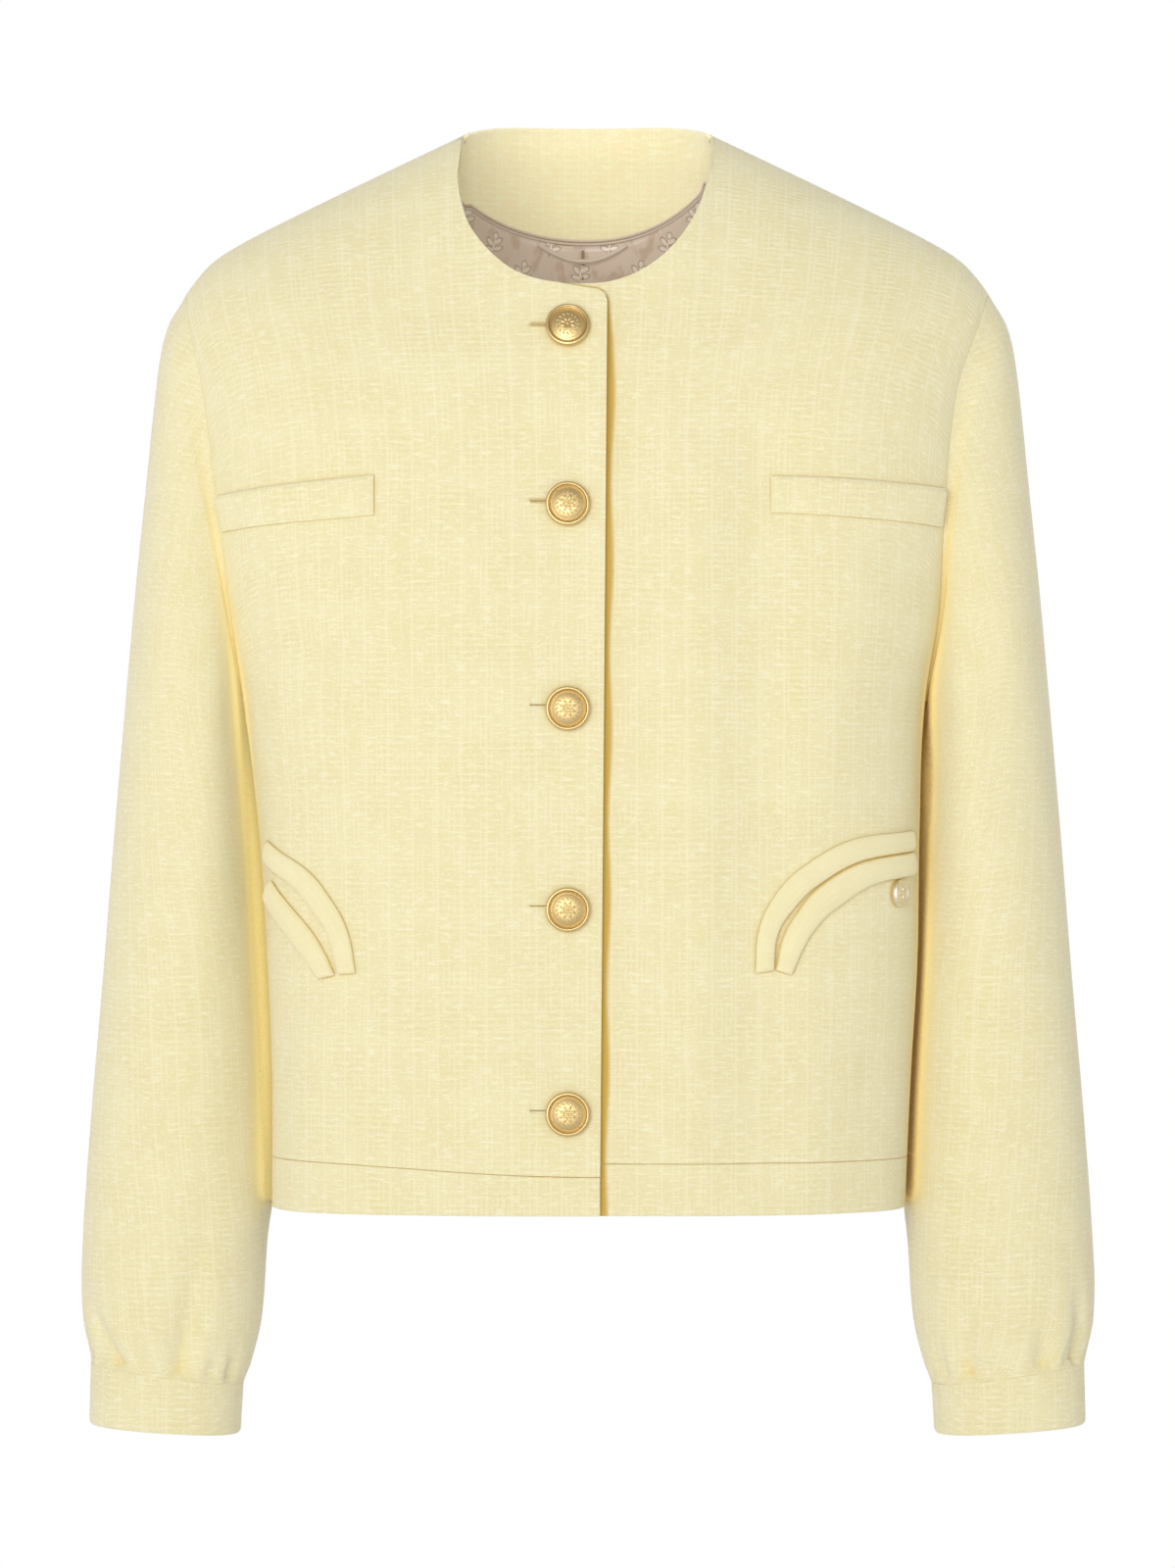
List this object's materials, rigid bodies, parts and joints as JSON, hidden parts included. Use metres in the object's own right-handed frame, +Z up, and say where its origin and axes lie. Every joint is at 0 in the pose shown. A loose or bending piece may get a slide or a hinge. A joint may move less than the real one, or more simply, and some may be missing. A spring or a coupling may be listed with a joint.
{
  "type": "cropped tweed jacket",
  "caption": "Collarless cropped tweed jacket, filled out and hollow, with a round neck, buttoned front, chest welts, curved hip pockets and sleeves gathered into cuffs.",
  "frame": {"origin": "middle of the neck at the height of the shoulder seams' neck ends, where a wearer's neck and shoulders hold the jacket", "axes": "+Z up along the body, -Y out of the buttoned front, +X to the wearer's left"},
  "size_m": [0.5162, 0.2395, 0.669],
  "materials": {
    "tweed": "matt woven tweed, pale cream yellow",
    "lining": "satin jacquard, taupe",
    "gold": "polished gold plate"
  },
  "bodies": {
    "root": {"front_right": "tweed", "front_left": "tweed", "back": "tweed", "hem_band_front_right": "tweed", "hem_band_front_left": "tweed", "hem_band_back": "tweed", "sleeve_right": "tweed", "sleeve_left": "tweed", "cuff_right": "tweed", "cuff_left": "tweed", "back_neck_facing": "tweed", "lining_piping": "lining", "lining_back": "lining", "hanger_loop": "lining", "chest_welt_right": "tweed", "chest_welt_left": "tweed", "pocket_welt_upper_right": "tweed", "pocket_welt_lower_right": "tweed", "pocket_welt_upper_left": "tweed", "pocket_welt_lower_left": "tweed", "button_1": "gold", "button_2": "gold", "button_3": "gold", "button_4": "gold", "button_5": "gold", "pocket_stud": "gold"}
  },
  "joints": []
}
